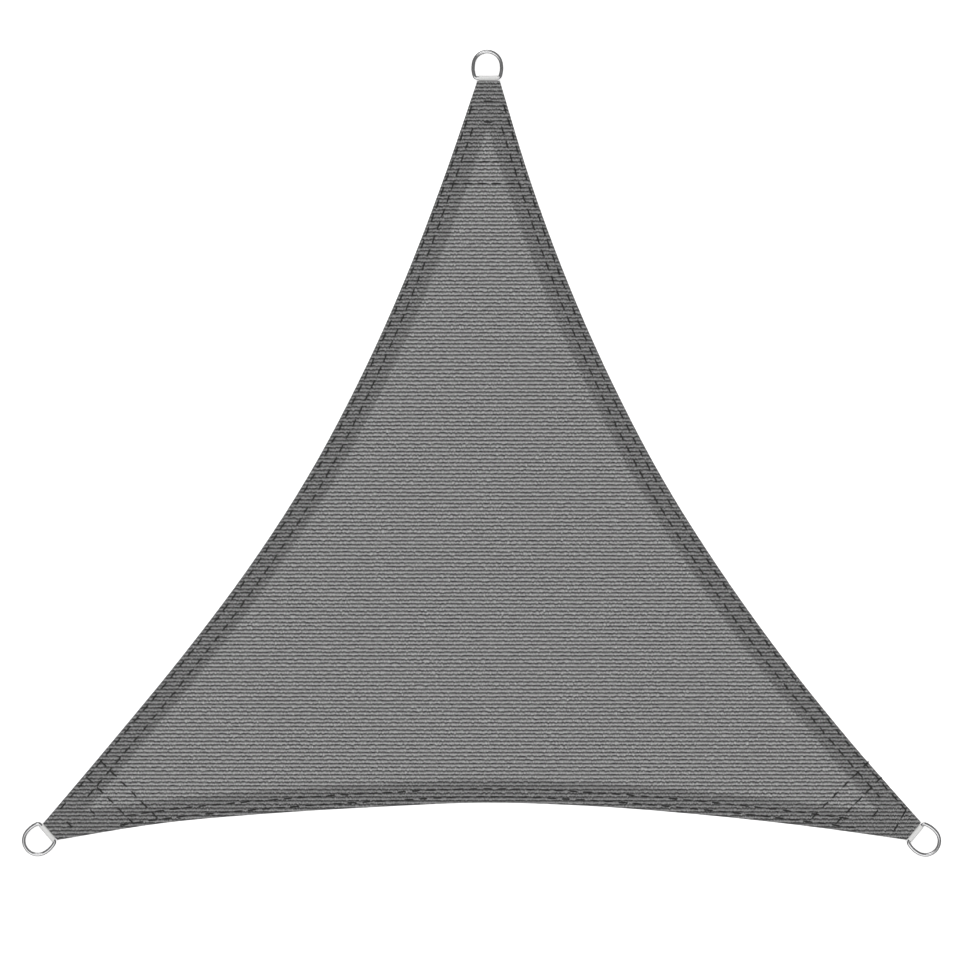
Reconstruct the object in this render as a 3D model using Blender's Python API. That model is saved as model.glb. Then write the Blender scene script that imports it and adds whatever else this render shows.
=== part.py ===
"""Shade sail, 2 m from ring to ring, lying flat on the ground.

One hemmed triangle of ribbed knitted cloth with hollow edges and three blunt corners. A strap goes round the
straight bar of a D-ring at each corner, and its two legs lie one on the other in a pocket between the layers
of the corner. The hem is folded to the back, so on the ground the front steps up by one layer along each edge.
Metres, +Z up. Seen from above, +Y is towards the top corner.
"""

import math

import bpy
import numpy as np
from mathutils import Matrix, Vector
from mathutils.geometry import delaunay_2d_cdt

MM = 0.001

# Cloth
LAYER = 1.1 * MM  # one layer, between its ribs
RIB_HEIGHT = 0.5 * MM
RIB_PITCH = 8.078 * MM
RIB_REACH = 0.9  # half of the length of cloth that the rib lines cover, with some to spare
HEM_STEP = 5.0 * MM  # width of the slope from two layers down to one
EDGE_STEPS = 40
SAME_PLACE = 0.02 * MM  # two points of a line or an outline nearer than this are one

# Strap and ring
GAP = 0.3 * MM
STRAP_THICK = 1.3 * MM
STRAP_WIDE = 41.0 * MM
STRAP_LEG = 90.0 * MM  # from the mouth of the pocket to the end of each leg
WIRE = 7.5 * MM
RING_ARC = 30.4 * MM  # radius of the round end, to the middle of the wire
RING_RISE = 27.0 * MM  # from the bar to the middle of that arc
RING_BAR = 22.2 * MM  # half of the straight bar
RING_CORNER = 6.3 * MM
RING_SIDE = 55.0 * MM  # radius of its shallow sides
BAR_OUT = 6.2 * MM  # from the blunt end of the cloth to the bar

# Pocket for the legs, and how the cloth swells over it
POCKET_HIGH = 2 * STRAP_THICK + 3 * GAP
POCKET_LONG = STRAP_LEG + 1.0 * MM
POCKET_WIDE = STRAP_WIDE + 2 * GAP
SWELL_LEVEL = POCKET_WIDE / 2 + 0.4 * MM  # half of the width that the pocket swells by its full height
SWELL_SIDE = 8.0 * MM
SWELL_END = 16.0 * MM
LIFT_LONG = 72.0 * MM  # length of the corner that the strap and bar lift off the ground
BAR_HEIGHT = STRAP_THICK + GAP + WIRE / 2
LIFT = BAR_HEIGHT - LAYER - POCKET_HIGH / 2

# The blunt corners: middle of the cut end, its width, the way it points, and how far the strap and the ring
# sit off its middle, to the left as one looks out along it.
CORNERS = {
    # name: (x mm, y mm, width mm, points to deg, strap off mm, ring off mm)
    "top": (15.2, 809.4, 49.0, 90.0, 0.8, 2.8),
    "left": (-937.4, -822.5, 47.6, 221.0, -1.3, -3.4),
    "right": (939.2, -821.1, 49.5, 320.5, -1.2, -0.4),
}

# The hollow edges, anticlockwise: width of the hem, and how deep the edge lies below the straight line between
# its ends, at each eighth of the way.
EDGES = (
    # (from, to, hem mm, depths mm)
    ("top", "left", 51.5, (46.4, 84.0, 107.7, 116.0, 104.8, 77.6, 40.5)),
    ("left", "right", 48.0, (36.6, 57.2, 71.1, 80.5, 73.6, 55.9, 31.4)),
    ("right", "top", 51.5, (47.4, 84.7, 109.0, 119.6, 111.7, 89.0, 51.4)),
)


def smooth(value):
    """An even S from 0 to 1 for an array of values, held level outside that range."""
    value = np.clip(value, 0.0, 1.0)
    return value * value * (3.0 - 2.0 * value)


class Corner:
    """One blunt corner, with an axis out of the cloth and one along its cut end, to the left of that."""

    def __init__(self, x, y, width, points_to, strap_off, ring_off):
        turn = math.radians(points_to)
        self.middle = np.array([x, y]) * MM
        self.out = np.array([math.cos(turn), math.sin(turn)])
        self.along = np.array([-math.sin(turn), math.cos(turn)])
        self.half = width * MM / 2
        self.strap_off = strap_off * MM
        self.ring_off = ring_off * MM

    def at(self, inward, along):
        """The place this far into the cloth from the cut end, and this far to the left."""
        return self.middle - self.out * inward + self.along * along

    def local(self, points):
        """(inward, left) of each place, with left counted from the strap's middle."""
        away = points - self.middle
        return -away @ self.out, away @ self.along - self.strap_off

    def matrix(self, along=0.0, height=0.0):
        """Local X to the left, Y into the cloth, Z up, from the cut end's middle."""
        x, y = self.at(0.0, along)
        turn = math.atan2(self.along[1], self.along[0])
        return Matrix.Translation((x, y, height)) @ Matrix.Rotation(turn, 4, "Z")


def hollow_edge(start, end, depths):
    """Points from start to end, on the inner side of their straight line by the depths at each eighth."""
    knots = np.concatenate([[0.0], depths, [0.0]]) * MM
    slopes = np.gradient(knots)
    chord = end - start
    inward = np.array([-chord[1], chord[0]]) / np.hypot(*chord)
    spans = len(knots) - 1
    points = []
    for step in range(EDGE_STEPS + 1):
        share = step / EDGE_STEPS
        span = min(int(share * spans), spans - 1)
        t = share * spans - span
        depth = (
            (2 * t**3 - 3 * t**2 + 1) * knots[span]
            + (t**3 - 2 * t**2 + t) * slopes[span]
            + (3 * t**2 - 2 * t**3) * knots[span + 1]
            + (t**3 - t**2) * slopes[span + 1]
        )
        points.append(start + chord * share + inward * depth)
    return np.array(points)


def inner_line(edge, width):
    """The edge's points moved into the cloth by this width."""
    ahead = np.gradient(edge, axis=0)
    ahead /= np.hypot(ahead[:, 0], ahead[:, 1])[:, None]
    return edge + np.stack([-ahead[:, 1], ahead[:, 0]], axis=1) * width


def distance_to(line, points):
    """How far each point is from a line of straight pieces."""
    best = np.full(len(points), np.inf)
    for start, end in zip(line[:-1], line[1:]):
        piece = end - start
        share = np.clip((points - start) @ piece / (piece @ piece), 0.0, 1.0)
        away = points - start - share[:, None] * piece
        best = np.minimum(best, np.hypot(away[:, 0], away[:, 1]))
    return best


def inside(outline, points):
    """Whether each point is inside the closed outline."""
    crossings = np.zeros(len(points), int)
    for start, end in zip(outline, np.roll(outline, -1, axis=0)):
        over = (start[1] > points[:, 1]) != (end[1] > points[:, 1])
        rise = end[1] - start[1] if end[1] != start[1] else 1.0
        meets = start[0] + (points[:, 1] - start[1]) * (end[0] - start[0]) / rise
        crossings += over & (points[:, 0] < meets)
    return crossings % 2 == 1


def triangles_between(lines, spots, outline):
    """(points, triangles) that fill the outline, with an edge along every line and a point at every spot."""
    points = [Vector(spot) for spot in spots]
    edges = []
    for line in lines:
        first = len(points)
        points.extend(Vector(point) for point in line)
        edges.extend((first + i, first + i + 1) for i in range(len(line) - 1))
    made, _, faces, *_ = delaunay_2d_cdt(points, edges, [], 0, SAME_PLACE, False)
    made = np.array([tuple(point) for point in made])
    faces = np.array(faces)
    faces = faces[inside(outline, made[faces].mean(axis=1))]
    used, faces = np.unique(faces, return_inverse=True)
    return made[used], faces.reshape(-1, 3)


def rim_of(faces):
    """The point numbers round the rim of a sheet of anticlockwise triangles, in order."""
    ends = {}
    sides = {(int(a), int(b)) for tri in faces for a, b in zip(tri, np.roll(tri, -1))}
    for a, b in sides:
        if (b, a) not in sides:
            ends[a] = b
    rim = [min(ends)]
    while len(rim) < len(ends):
        rim.append(ends[rim[-1]])
    return rim


class Sail:
    """The cut of the cloth, and the height of its two faces anywhere on it."""

    def __init__(self):
        self.corners = {name: Corner(*row) for name, row in CORNERS.items()}
        self.edges = []
        self.hems = []
        for start, end, hem, depths in EDGES:
            left, right = self.corners[start], self.corners[end]
            self.edges.append(hollow_edge(left.at(0, left.half), right.at(0, -right.half), depths))
            self.hems.append(hem * MM)
        self.outline = np.concatenate(self.edges)

    def underside(self, points):
        """Flat on the ground, but for the corners, which the straps lift."""
        height = np.zeros(len(points))
        for corner in self.corners.values():
            inward, _ = corner.local(points)
            near = np.hypot(*(points - corner.middle).T) < 2 * LIFT_LONG
            height += np.where(near, LIFT * smooth(1.0 - inward / LIFT_LONG), 0.0)
        return height

    def swelling(self, points):
        """How far the pocket parts the layers."""
        height = np.zeros(len(points))
        for corner in self.corners.values():
            inward, left = corner.local(points)
            near = np.hypot(*(points - corner.middle).T) < 2 * POCKET_LONG
            side = smooth(1.0 - (np.abs(left) - SWELL_LEVEL) / SWELL_SIDE)
            end = smooth(1.0 - (inward - POCKET_LONG) / SWELL_END)
            height += np.where(near, POCKET_HIGH * side * end, 0.0)
        return height

    def top(self, points):
        """One layer and its ribs, a second layer over the hem, and the swelling over the pockets."""
        hem = np.zeros(len(points))
        for edge, width in zip(self.edges, self.hems):
            hem = np.maximum(hem, smooth(1.0 - (distance_to(edge, points) - width) / HEM_STEP))
        rib = np.abs(points[:, 1] / RIB_PITCH % 1.0 - 0.5) * 2 * RIB_HEIGHT
        return self.underside(points) + LAYER * (1.0 + hem) + rib + self.swelling(points)

    def rib_lines(self):
        """A line along each rib and each valley between two."""
        count = int(RIB_REACH / (RIB_PITCH / 2))
        for step in range(-count, count + 1):
            y = step * RIB_PITCH / 2
            yield np.array([(-1.1, y), (1.1, y)])

    def swelling_lines(self, corner):
        """Lines where the front bends, beside the pocket, across it and past its end."""
        middle = corner.strap_off
        for share in (0.0, 0.33, 0.67, 1.0):
            half = SWELL_LEVEL + SWELL_SIDE * share
            for left in (middle - half, middle + half):
                yield np.array([corner.at(-4 * MM, left), corner.at(POCKET_LONG + SWELL_END, left)])
        reach = SWELL_LEVEL + SWELL_SIDE
        bends = [LIFT_LONG * share for share in (0.15, 0.3, 0.45, 0.6, 0.8)]
        bends += [POCKET_LONG + SWELL_END * share for share in (0.0, 0.33, 0.67, 1.0)]
        for inward in bends:
            yield np.array([corner.at(inward, middle - reach), corner.at(inward, middle + reach)])

    def lift_spots(self, corner):
        """Places inside the corner where the underside bends."""
        for step in range(1, 10):
            inward = LIFT_LONG * step / 9
            for left in (-20, -10, 0, 10, 20):
                yield corner.at(inward, left * MM)


def sheet_mesh(sail):
    """The closed body of the cloth: ribbed front, flat back, upright rim."""
    closed = np.concatenate([sail.outline, sail.outline[:1]])
    lines = [closed, *sail.rib_lines()]
    for edge, width in zip(sail.edges, sail.hems):
        lines += [inner_line(edge, width), inner_line(edge, width + HEM_STEP)]
    spots = []
    for corner in sail.corners.values():
        lines += sail.swelling_lines(corner)
        spots += sail.lift_spots(corner)
    front, front_faces = triangles_between(lines, [], sail.outline)
    rim = rim_of(front_faces)
    ring = front[rim]
    back, back_faces = triangles_between([np.concatenate([ring, ring[:1]])], spots, ring)
    back_rim = [int(np.argmin(np.hypot(*(back - point).T))) for point in ring]

    top = np.column_stack([front, sail.top(front)])
    bottom = np.column_stack([back, sail.underside(back)])
    below = len(top)
    faces = [tuple(map(int, face)) for face in front_faces]
    faces += [tuple(int(i) + below for i in face[::-1]) for face in back_faces]
    count = len(rim)
    for i in range(count):
        j = (i + 1) % count
        faces.append((rim[i], back_rim[i] + below, back_rim[j] + below, rim[j]))
    mesh = bpy.data.meshes.new("sail_cloth")
    mesh.from_pydata([tuple(map(float, point)) for point in (*top, *bottom)], [], faces)
    mesh.update()
    return mesh


def lift_at(inward):
    """Height of the underside this far in from the cut end."""
    return LIFT * float(smooth(1.0 - inward / LIFT_LONG))


def leg_stations(length):
    """Distances in from the cut end where the strap, and the pocket for it, bend."""
    steps = 10
    return [min(LIFT_LONG * i / steps, length) for i in range(steps + 1)] + [length]


def pocket_cutter(name, corner):
    """A slab as wide and high as the pocket, open past the cut end, that follows the lifted cloth."""
    stations = [-4.0 * MM, *leg_stations(POCKET_LONG)]
    half = POCKET_WIDE / 2
    points = []
    for inward in stations:
        low = lift_at(max(inward, 0.0)) + LAYER
        for left, height in ((-half, low), (half, low), (half, low + POCKET_HIGH), (-half, low + POCKET_HIGH)):
            points.append((left, inward, height))
    faces = [(0, 1, 2, 3)]
    for first in range(0, len(points) - 4, 4):
        for side in range(4):
            after = (side + 1) % 4
            faces.append((first + side, first + 4 + side, first + 4 + after, first + after))
    last = len(points) - 4
    faces.append((last + 3, last + 2, last + 1, last))
    mesh = bpy.data.meshes.new(name)
    mesh.from_pydata(points, [], faces)
    mesh.transform(corner.matrix(corner.strap_off))
    mesh.update()
    cutter = bpy.data.objects.new(name, mesh)
    cutter.hide_render = True
    cutter.display_type = "WIRE"
    return cutter


def strap_path():
    """(out, height) along the strap's middle: in under the bar, round it, and back in on top."""
    first = LAYER + GAP + STRAP_THICK / 2
    second = first + STRAP_THICK + GAP
    legs = leg_stations(STRAP_LEG)
    turn = WIRE / 2 + GAP + STRAP_THICK / 2
    straight = 0.5 * MM
    half_gap = (second - first) / 2
    reach = math.hypot(BAR_OUT - straight, half_gap)
    lean = math.asin(turn / reach) - math.atan2(half_gap, BAR_OUT - straight)
    touch = math.pi / 2 + lean
    path = [(-s, lift_at(s) + first) for s in reversed(legs)]
    path.append((straight, BAR_HEIGHT - half_gap))
    steps = 22
    for i in range(steps + 1):
        angle = -touch + 2 * touch * i / steps
        path.append((BAR_OUT + turn * math.cos(angle), BAR_HEIGHT + turn * math.sin(angle)))
    path.append((straight, BAR_HEIGHT + half_gap))
    path += [(-s, lift_at(s) + second) for s in legs]
    return path


def ribbon_mesh(name, path, thick, wide):
    """A flat strap along a path of (out, height), with its width across the path."""
    path = np.array(path)
    keep = [0] + [i for i in range(1, len(path)) if np.hypot(*(path[i] - path[i - 1])) > SAME_PLACE]
    path = path[keep]
    ahead = np.diff(path, axis=0)
    ahead /= np.hypot(ahead[:, 0], ahead[:, 1])[:, None]
    before = np.vstack([ahead[:1], ahead])
    after = np.vstack([ahead, ahead[-1:]])
    across = before + after
    across /= np.hypot(across[:, 0], across[:, 1])[:, None]
    mitre = 1.0 / np.sum(across * after, axis=1)
    normal = np.stack([-across[:, 1], across[:, 0]], axis=1) * (mitre * thick / 2)[:, None]
    points = []
    for middle, off in zip(path, normal):
        for side, (out, height) in ((1, middle - off), (-1, middle - off), (-1, middle + off), (1, middle + off)):
            points.append((side * wide / 2, -out, height))
    faces = [(0, 1, 2, 3)]
    for first in range(0, len(points) - 4, 4):
        for side in range(4):
            then = (side + 1) % 4
            faces.append((first + side, first + 4 + side, first + 4 + then, first + then))
    last = len(points) - 4
    faces.append((last + 3, last + 2, last + 1, last))
    mesh = bpy.data.meshes.new(name)
    mesh.from_pydata(points, [], faces)
    mesh.update()
    return mesh


def side_arc():
    """(x, y) of the middle of the shallow arc along the ring's right side, and the angles of its two ends.
    It runs on smoothly from the arc at the corner and into the round end."""
    rise = RING_RISE - RING_CORNER
    apart = math.hypot(RING_BAR, rise)
    to_corner, to_end = RING_SIDE - RING_CORNER, RING_SIDE - RING_ARC
    turn = math.acos((to_corner**2 + apart**2 - to_end**2) / (2 * to_corner * apart))
    way = math.atan2(rise, -RING_BAR) + turn
    x, y = RING_BAR + to_corner * math.cos(way), RING_CORNER + to_corner * math.sin(way)
    return x, y, math.atan2(RING_CORNER - y, RING_BAR - x), math.atan2(RING_RISE - y, -x)


def ring_points():
    """The D of the ring's wire, from (0, 0) at the middle of its bar, with the round end at +Y."""
    x, y, low, high = side_arc()
    arcs = (
        # centre x, centre y, radius, first angle, last angle, steps
        (RING_BAR, RING_CORNER, RING_CORNER, -math.pi / 2, low, 6),
        (x, y, RING_SIDE, low, high, 5),
        (0.0, RING_RISE, RING_ARC, high, math.pi - high, 24),
        (-x, y, RING_SIDE, math.pi - high, math.pi - low, 5),
        (-RING_BAR, RING_CORNER, RING_CORNER, math.pi - low, 1.5 * math.pi, 6),
    )
    points = []
    for x, y, radius, first, last, steps in arcs:
        for i in range(steps):
            angle = first + (last - first) * i / steps
            points.append((x + radius * math.cos(angle), y + radius * math.sin(angle)))
    return [*points, (-RING_BAR, 0.0)]


def ring_curve(name):
    """The ring's wire as a closed curve in its own plane."""
    curve = bpy.data.curves.new(name, "CURVE")
    curve.dimensions = "3D"
    curve.bevel_depth = WIRE / 2
    curve.bevel_resolution = 3
    points = ring_points()
    spline = curve.splines.new("POLY")
    spline.points.add(len(points) - 1)
    for point, (x, y) in zip(spline.points, points):
        point.co = (x, y, 0.0, 1.0)
    spline.use_cyclic_u = True
    return curve


def material(name, colour, roughness, metallic=0.0):
    made = bpy.data.materials.new(name)
    made.use_nodes = True
    shader = made.node_tree.nodes["Principled BSDF"]
    shader.inputs["Base Color"].default_value = (*colour, 1.0)
    shader.inputs["Roughness"].default_value = roughness
    shader.inputs["Metallic"].default_value = metallic
    made.diffuse_color = (*colour, 1.0)
    return made


def collection(name):
    made = bpy.data.collections.new(name)
    bpy.context.scene.collection.children.link(made)
    return made


def add_cloth(sail, parts, cutters, finish):
    mesh = sheet_mesh(sail)
    mesh.materials.append(finish)
    cloth = bpy.data.objects.new("sail_cloth", mesh)
    parts.objects.link(cloth)
    for name, corner in sail.corners.items():
        cutter = pocket_cutter(f"pocket_{name}", corner)
        cutters.objects.link(cutter)
        cut = cloth.modifiers.new(cutter.name, "BOOLEAN")
        cut.operation = "DIFFERENCE"
        cut.solver = "EXACT"
        cut.object = cutter


def add_strap(name, corner, parts, finish):
    mesh = ribbon_mesh(f"strap_{name}", strap_path(), STRAP_THICK, STRAP_WIDE)
    mesh.materials.append(finish)
    strap = bpy.data.objects.new(mesh.name, mesh)
    mesh.transform(corner.matrix(corner.strap_off))
    mesh.shade_smooth()
    mesh.set_sharp_from_angle(angle=math.radians(40))
    parts.objects.link(strap)


def add_ring(name, corner, parts, finish):
    """The bar is as high as the strap holds it, and the round end is down on the ground."""
    curve = ring_curve(f"ring_{name}")
    curve.materials.append(finish)
    ring = bpy.data.objects.new(curve.name, curve)
    drop = BAR_HEIGHT - WIRE / 2
    tilt = math.asin(drop / (RING_RISE + RING_ARC))
    x, y = corner.at(-BAR_OUT, corner.ring_off)
    turn = math.atan2(corner.out[1], corner.out[0]) - math.pi / 2
    ring.rotation_euler = (-tilt, 0.0, turn)
    ring.location = (x, y, BAR_HEIGHT)
    parts.objects.link(ring)


def main():
    for old in list(bpy.data.objects):
        bpy.data.objects.remove(old, do_unlink=True)
    parts = collection("shade_sail")
    cutters = collection("cutters")
    cloth = material("knitted_cloth", (0.19, 0.19, 0.19), 0.9)
    webbing = material("woven_strap", (0.76, 0.76, 0.75), 0.8)
    steel = material("polished_steel", (0.72, 0.72, 0.73), 0.15, 1.0)
    sail = Sail()
    add_cloth(sail, parts, cutters, cloth)
    for name, corner in sail.corners.items():
        add_strap(name, corner, parts, webbing)
        add_ring(name, corner, parts, steel)


main()
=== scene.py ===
"""The looks of a shade sail lying flat: ribbed knitted cloth, stitched hems, woven straps and steel D-rings.

The sizes repeat those of the solids. Metres, +Z up, and +Y towards the top corner. The cloth is one closed
sheet: its front and its back are filled in within the same rim, the pockets for the straps are cut out of it,
and a Geometry Nodes tree then raises the ribs. Another tree lays the stitches along their rows.
"""

import math

import bpy
import numpy as np
from mathutils import Matrix, Vector
from mathutils.geometry import delaunay_2d_cdt


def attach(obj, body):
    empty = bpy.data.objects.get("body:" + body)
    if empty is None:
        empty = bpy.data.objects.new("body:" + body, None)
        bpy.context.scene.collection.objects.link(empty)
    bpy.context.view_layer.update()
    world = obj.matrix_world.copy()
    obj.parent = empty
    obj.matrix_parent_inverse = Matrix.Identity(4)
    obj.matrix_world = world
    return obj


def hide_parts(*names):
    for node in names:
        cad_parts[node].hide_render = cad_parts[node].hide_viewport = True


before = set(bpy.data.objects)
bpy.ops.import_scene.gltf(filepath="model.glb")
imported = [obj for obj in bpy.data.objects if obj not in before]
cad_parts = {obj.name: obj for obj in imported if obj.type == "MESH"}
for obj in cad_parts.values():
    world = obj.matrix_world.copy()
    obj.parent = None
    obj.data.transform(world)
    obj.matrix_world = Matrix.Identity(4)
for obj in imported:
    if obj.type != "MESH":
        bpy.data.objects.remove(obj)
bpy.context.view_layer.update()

MM = 0.001

# Cloth
LAYER = 1.1 * MM  # one layer, between its ribs
RIB_PITCH = 8.0745 * MM  # from one rib to the next
RIB_HEIGHT = 0.8 * MM  # of a crest over the valleys beside it
RIB_SWAY = 0.3 * MM  # how far a rib strays from its straight line
RIB_UNEVEN = 0.12  # how much the height of a rib changes along it
UNEVEN_PACE = 22.0  # how often its height changes in a metre
SWAY_PACE = (26.0, 60.0)  # how often the sway changes in a metre along the ribs, and across them
RIB_APART = 7.31  # how far apart neighbouring ribs lie in a noise, so that each goes its own way
RIB_START = 0.6 * MM  # the ribs begin this far in from the rim
RIB_FADE = 3.0 * MM  # and have their full height this much further in
RIB_SEED = 4.0
BACK_DEPTH = 0.35 * MM  # depth of the valleys between the ribs on the back
HEM_STEP = 5.0 * MM  # width of the slope from two layers down to one
HEM_LIP = 0.3 * MM  # width of the step at the turned-in edge of the hem, on the back
HEM_GROOVE = 0.8 * MM  # how high that step is
GROOVE_FADE = 0.2  # the back's valleys run out where the groove is this share of that height
FOLD_ROUND = 1.0 * MM  # radius of the folded edge
END_ROUND = 0.5 * MM  # radius of each layer's edge at a blunt corner
END_REACH = 1.0 * MM  # that radius holds this far round the corner
END_FADE = 6.0 * MM  # and has grown to the fold's this much further on
RIM_INSETS = (0.15 * MM, 0.5 * MM, 1.0 * MM)  # lines inside the rim that carry its rounding
RIM_STEP = 3.5 * MM  # distance between points along the rim
HEM_LINE_STEP = 6.0 * MM  # and along the lines of the hems
ROWS_FRONT = 6  # rows of points to each rib
ROWS_BACK = 4
SPACING_FRONT = 18 * MM  # between the points in a row
SPACING_BACK = 36 * MM
ROW_SHIFT = 0.38  # of the spacing, from each row to the next
CLEAR = 1.5 * MM  # the rows stay this far from the rim and the lines
CLEAR_STEP = 8  # every so many points of a line are enough to keep clear of it
SAME_PLACE = 0.02 * MM  # points nearer to each other than this are one
CLOTH_SHARP = math.radians(50)  # an edge that bends more than this stays sharp

# Strap and ring
GAP = 0.3 * MM  # between the strap and what it lies on
STRAP_THICK = 1.3 * MM
STRAP_WIDE = 41.0 * MM
STRAP_LEG = 90.0 * MM  # how far it goes into the pocket
STRAP_EDGE = 0.42  # how far in the rounding of its edges begins, as a share of its thickness
STRAP_SHARP = math.radians(60)
WIRE = 7.5 * MM  # thickness of the ring's wire. The sizes below are those of its middle line
RING_ARC = 30.4 * MM  # radius of the round end
RING_RISE = 27.0 * MM  # from the bar to the middle of that arc
RING_BAR = 22.2 * MM  # half the straight length of the bar
RING_CORNER = 6.3 * MM  # radius of the bends at the bar's ends
RING_SIDE = 55.0 * MM  # radius of the shallow arcs at the sides
BAR_OUT = 6.2 * MM  # from the cut end of the cloth to the bar

# Pocket for the legs of the strap, and how the cloth swells over it
POCKET_HIGH = 2 * STRAP_THICK + 3 * GAP
POCKET_LONG = STRAP_LEG + 1.0 * MM
POCKET_WIDE = STRAP_WIDE + 2 * GAP
SWELL_LEVEL = POCKET_WIDE / 2 + 0.4 * MM  # it is level this far from the pocket's middle
SWELL_SIDE = 8.0 * MM  # width of the slope at its sides
SWELL_END = 16.0 * MM  # and at its end
LIFT_LONG = 72.0 * MM  # the corners rise off the ground over this length
BAR_HEIGHT = STRAP_THICK + GAP + WIRE / 2
LIFT = BAR_HEIGHT - LAYER - POCKET_HIGH / 2  # height of a corner's back at its cut end

# The blunt corners: middle of the cut end, its width, the way it points, and how far the strap and the ring
# sit off its middle, to the left as one looks out along it.
CORNERS = {
    # name: (x mm, y mm, width mm, points to deg, strap off mm, ring off mm)
    "top": (15.2, 809.4, 49.0, 90.0, 0.8, 2.8),
    "left": (-937.4, -822.5, 47.6, 221.0, -1.3, -3.4),
    "right": (939.2, -821.1, 49.5, 320.5, -1.2, -0.4),
}

# The hollow edges, anticlockwise: width of the hem, and how deep the edge lies below the straight line
# between its ends, at each eighth of the way.
EDGE_STEPS = 40  # straight pieces to an edge
EDGES = (
    # (from, to, hem mm, depths mm)
    ("top", "left", 51.5, (46.4, 84.0, 107.7, 116.0, 104.8, 77.6, 40.5)),
    ("left", "right", 48.0, (36.6, 57.2, 71.1, 80.5, 73.6, 55.9, 31.4)),
    ("right", "top", 51.5, (47.4, 84.7, 109.0, 119.6, 111.7, 89.0, 51.4)),
)

# Stitches
STITCH_PITCH = 30.9 * MM  # from the middle of one to the next
STITCH_LONG = 19.5 * MM
STITCH_BACK = 14.0 * MM  # length of the stitches on the back
THREAD = 3.4 * MM  # width of the doubled thread
THREAD_FLAT = 0.45  # its height over its width
THREAD_SIDES = 8
THREAD_TAPER = 0.3  # share of its thickness that is lost at the two ends
THREAD_TAPER_POWER = 4.0  # the higher, the nearer to its ends it thins
STITCH_SINK = 1.3 * MM  # how far its two ends go down into the cloth
STITCH_SINK_POWER = 5.0  # the higher, the nearer to its ends it goes down
STITCH_PROUD = 0.3 * MM  # the stitches on the back stand out of it by this much
STITCH_POINTS = 9  # along each stitch
ROW_STEP = 8.0 * MM  # between the points of a row along a hem
STITCH_SKEW = 0.07  # radians that a stitch may lie out of line
STITCH_LENGTHS = (0.88, 1.08)  # shortest and longest, as shares of the usual length

# The two rows along each hem: how far in from the fold they run at even steps along it, from near the start
# of the edge to near its end, and how far their first and last stitches are from the ends of the edge.
HEM_ROW_SPAN = (0.12, 0.88)  # the first and last of those steps, as shares of the edge
HEM_ROWS = (
    # (edge number, offsets mm, first mm, last mm)
    (0, (6.5, 8.4, 10.2, 10.2, 8.7), 65, 56),
    (0, (24.0, 28.9, 34.8, 35.4, 36.3), 109, 116),
    (1, (9.1, 11.7, 13.4, 12.0, 10.1), 149, 125),
    (1, (27.2, 30.2, 30.6, 29.4, 28.2), 167, 142),
    (2, (7.3, 9.2, 14.0, 12.4, 7.0), 48, 61),
    (2, (31.0, 34.9, 35.9, 31.0, 25.0), 104, 106),
)

# The rows across each corner, which hold the strap and close the hems' ends
CORNER_ROWS = (
    # (corner, inward mm and left mm of the first stitch, the same of the last, stitches)
    ("top", 44.6, 1.3, 44.6, 1.3, 1),
    ("top", 90.2, 1.3, 90.2, 1.3, 1),
    ("top", 176.3, 41.3, 176.3, -46.5, 4),
    ("top", 223.0, 76.1, 223.0, -48.3, 5),
    ("left", 42.1, 16.1, 42.1, 16.1, 1),
    ("left", 96.8, 25.1, 96.8, 25.1, 1),
    ("left", 138.2, -28.8, 147.5, 97.7, 5),
    ("left", 184.0, -36.0, 194.9, 120.4, 6),
    ("right", 40.8, 14.3, 35.5, -17.1, 2),
    ("right", 88.8, -23.6, 88.8, -23.6, 1),
    ("right", 129.3, 36.8, 140.0, -84.7, 5),
    ("right", 172.6, 45.7, 187.6, -110.2, 6),
)

# Tones of the knit. Across each rib they are partly its own and partly painted light and shade: the light
# line is partly the yarn's own tone and partly a painted highlight, the dark valley partly the knit's gaps
# and partly painted shade
RIB_HIGHLIGHT_SHIFT = 0.15  # how far the painted highlight line of each rib lies below its crest, as a share of the pitch
RIB_TONES_AND_SHADE = (
    # (way from the painted highlight line of one rib up to the next, lightness, which is low in the painted
    # shade)
    (0.0, 1.0),
    (0.1, 0.85),
    (0.26, 0.53),
    (0.42, 0.26),
    (0.56, 0.03),
    (0.7, 0.0),
    (0.8, 0.18),
    (0.9, 0.93),
    (1.0, 1.0),
)
KNIT_LIGHT = 0.412  # tone where the lightness is 1, on the painted highlight line
KNIT_DARK = 0.022  # and where it is 0, in the dark valleys: the knit's own gaps with painted shade
HEM_TONE = 0.69  # of the hems, as a share of the single layer's
GRAIN_RELIEF = 0.25  # height of the yarn's grain, as a share of the knit's relief

# The loops that each rib is knitted of, and the ties that draw them up and down by turns
LOOP_LEAN = 1.6  # how many loops' lengths a loop leans over across a rib
LOOP_TONES = (0.76, 1.16)  # of the darkest and the lightest loop
LOOP_BESIDE = -0.5  # how much a loop is darkened by a light one before it
LOOP_SHADING = (-0.1, 0.08)  # painted shade added to the tone at a loop's ends, and painted light added in its middle
LOOP_RELIEF = 0.35  # how much lower a loop is at its ends
LINE_PACE = 0.8  # wanderings of a dark line to each loop
LINE_STEADY = 0.12  # the dark lines' wandering fades out this close to the light line
TIE_UNEVEN = 0.05  # the range of a tie's place, as a share of the way between two
TIE_REACH = (0.02, 0.085)  # from its middle, as shares of the way between two: full pull, and none
TIE_PULL = (0.6, 1.4)  # of the weakest and the strongest tie
TIE_FROM = (0.4, 0.62)  # where across a rib the ties begin to draw it, and draw it in full
TIE_END = (0.9, 0.4)  # where their pull begins to fall, and what is left of it at the next light line
STRAY_LIGHT = 0.3  # lightness of the lightest stray loop in a dark line
STRAY_SHARE = 0.3  # share of the loops there that have none
# Starting points that keep the random choices apart
LINE_SEED = 3.0
LOOP_SEED = 11.0
STRAY_SEED = 37.0
TIE_SEED = 41.0
NOISE_SPAN = (0.3, 0.7)  # nearly all of a noise's values lie in here

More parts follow.
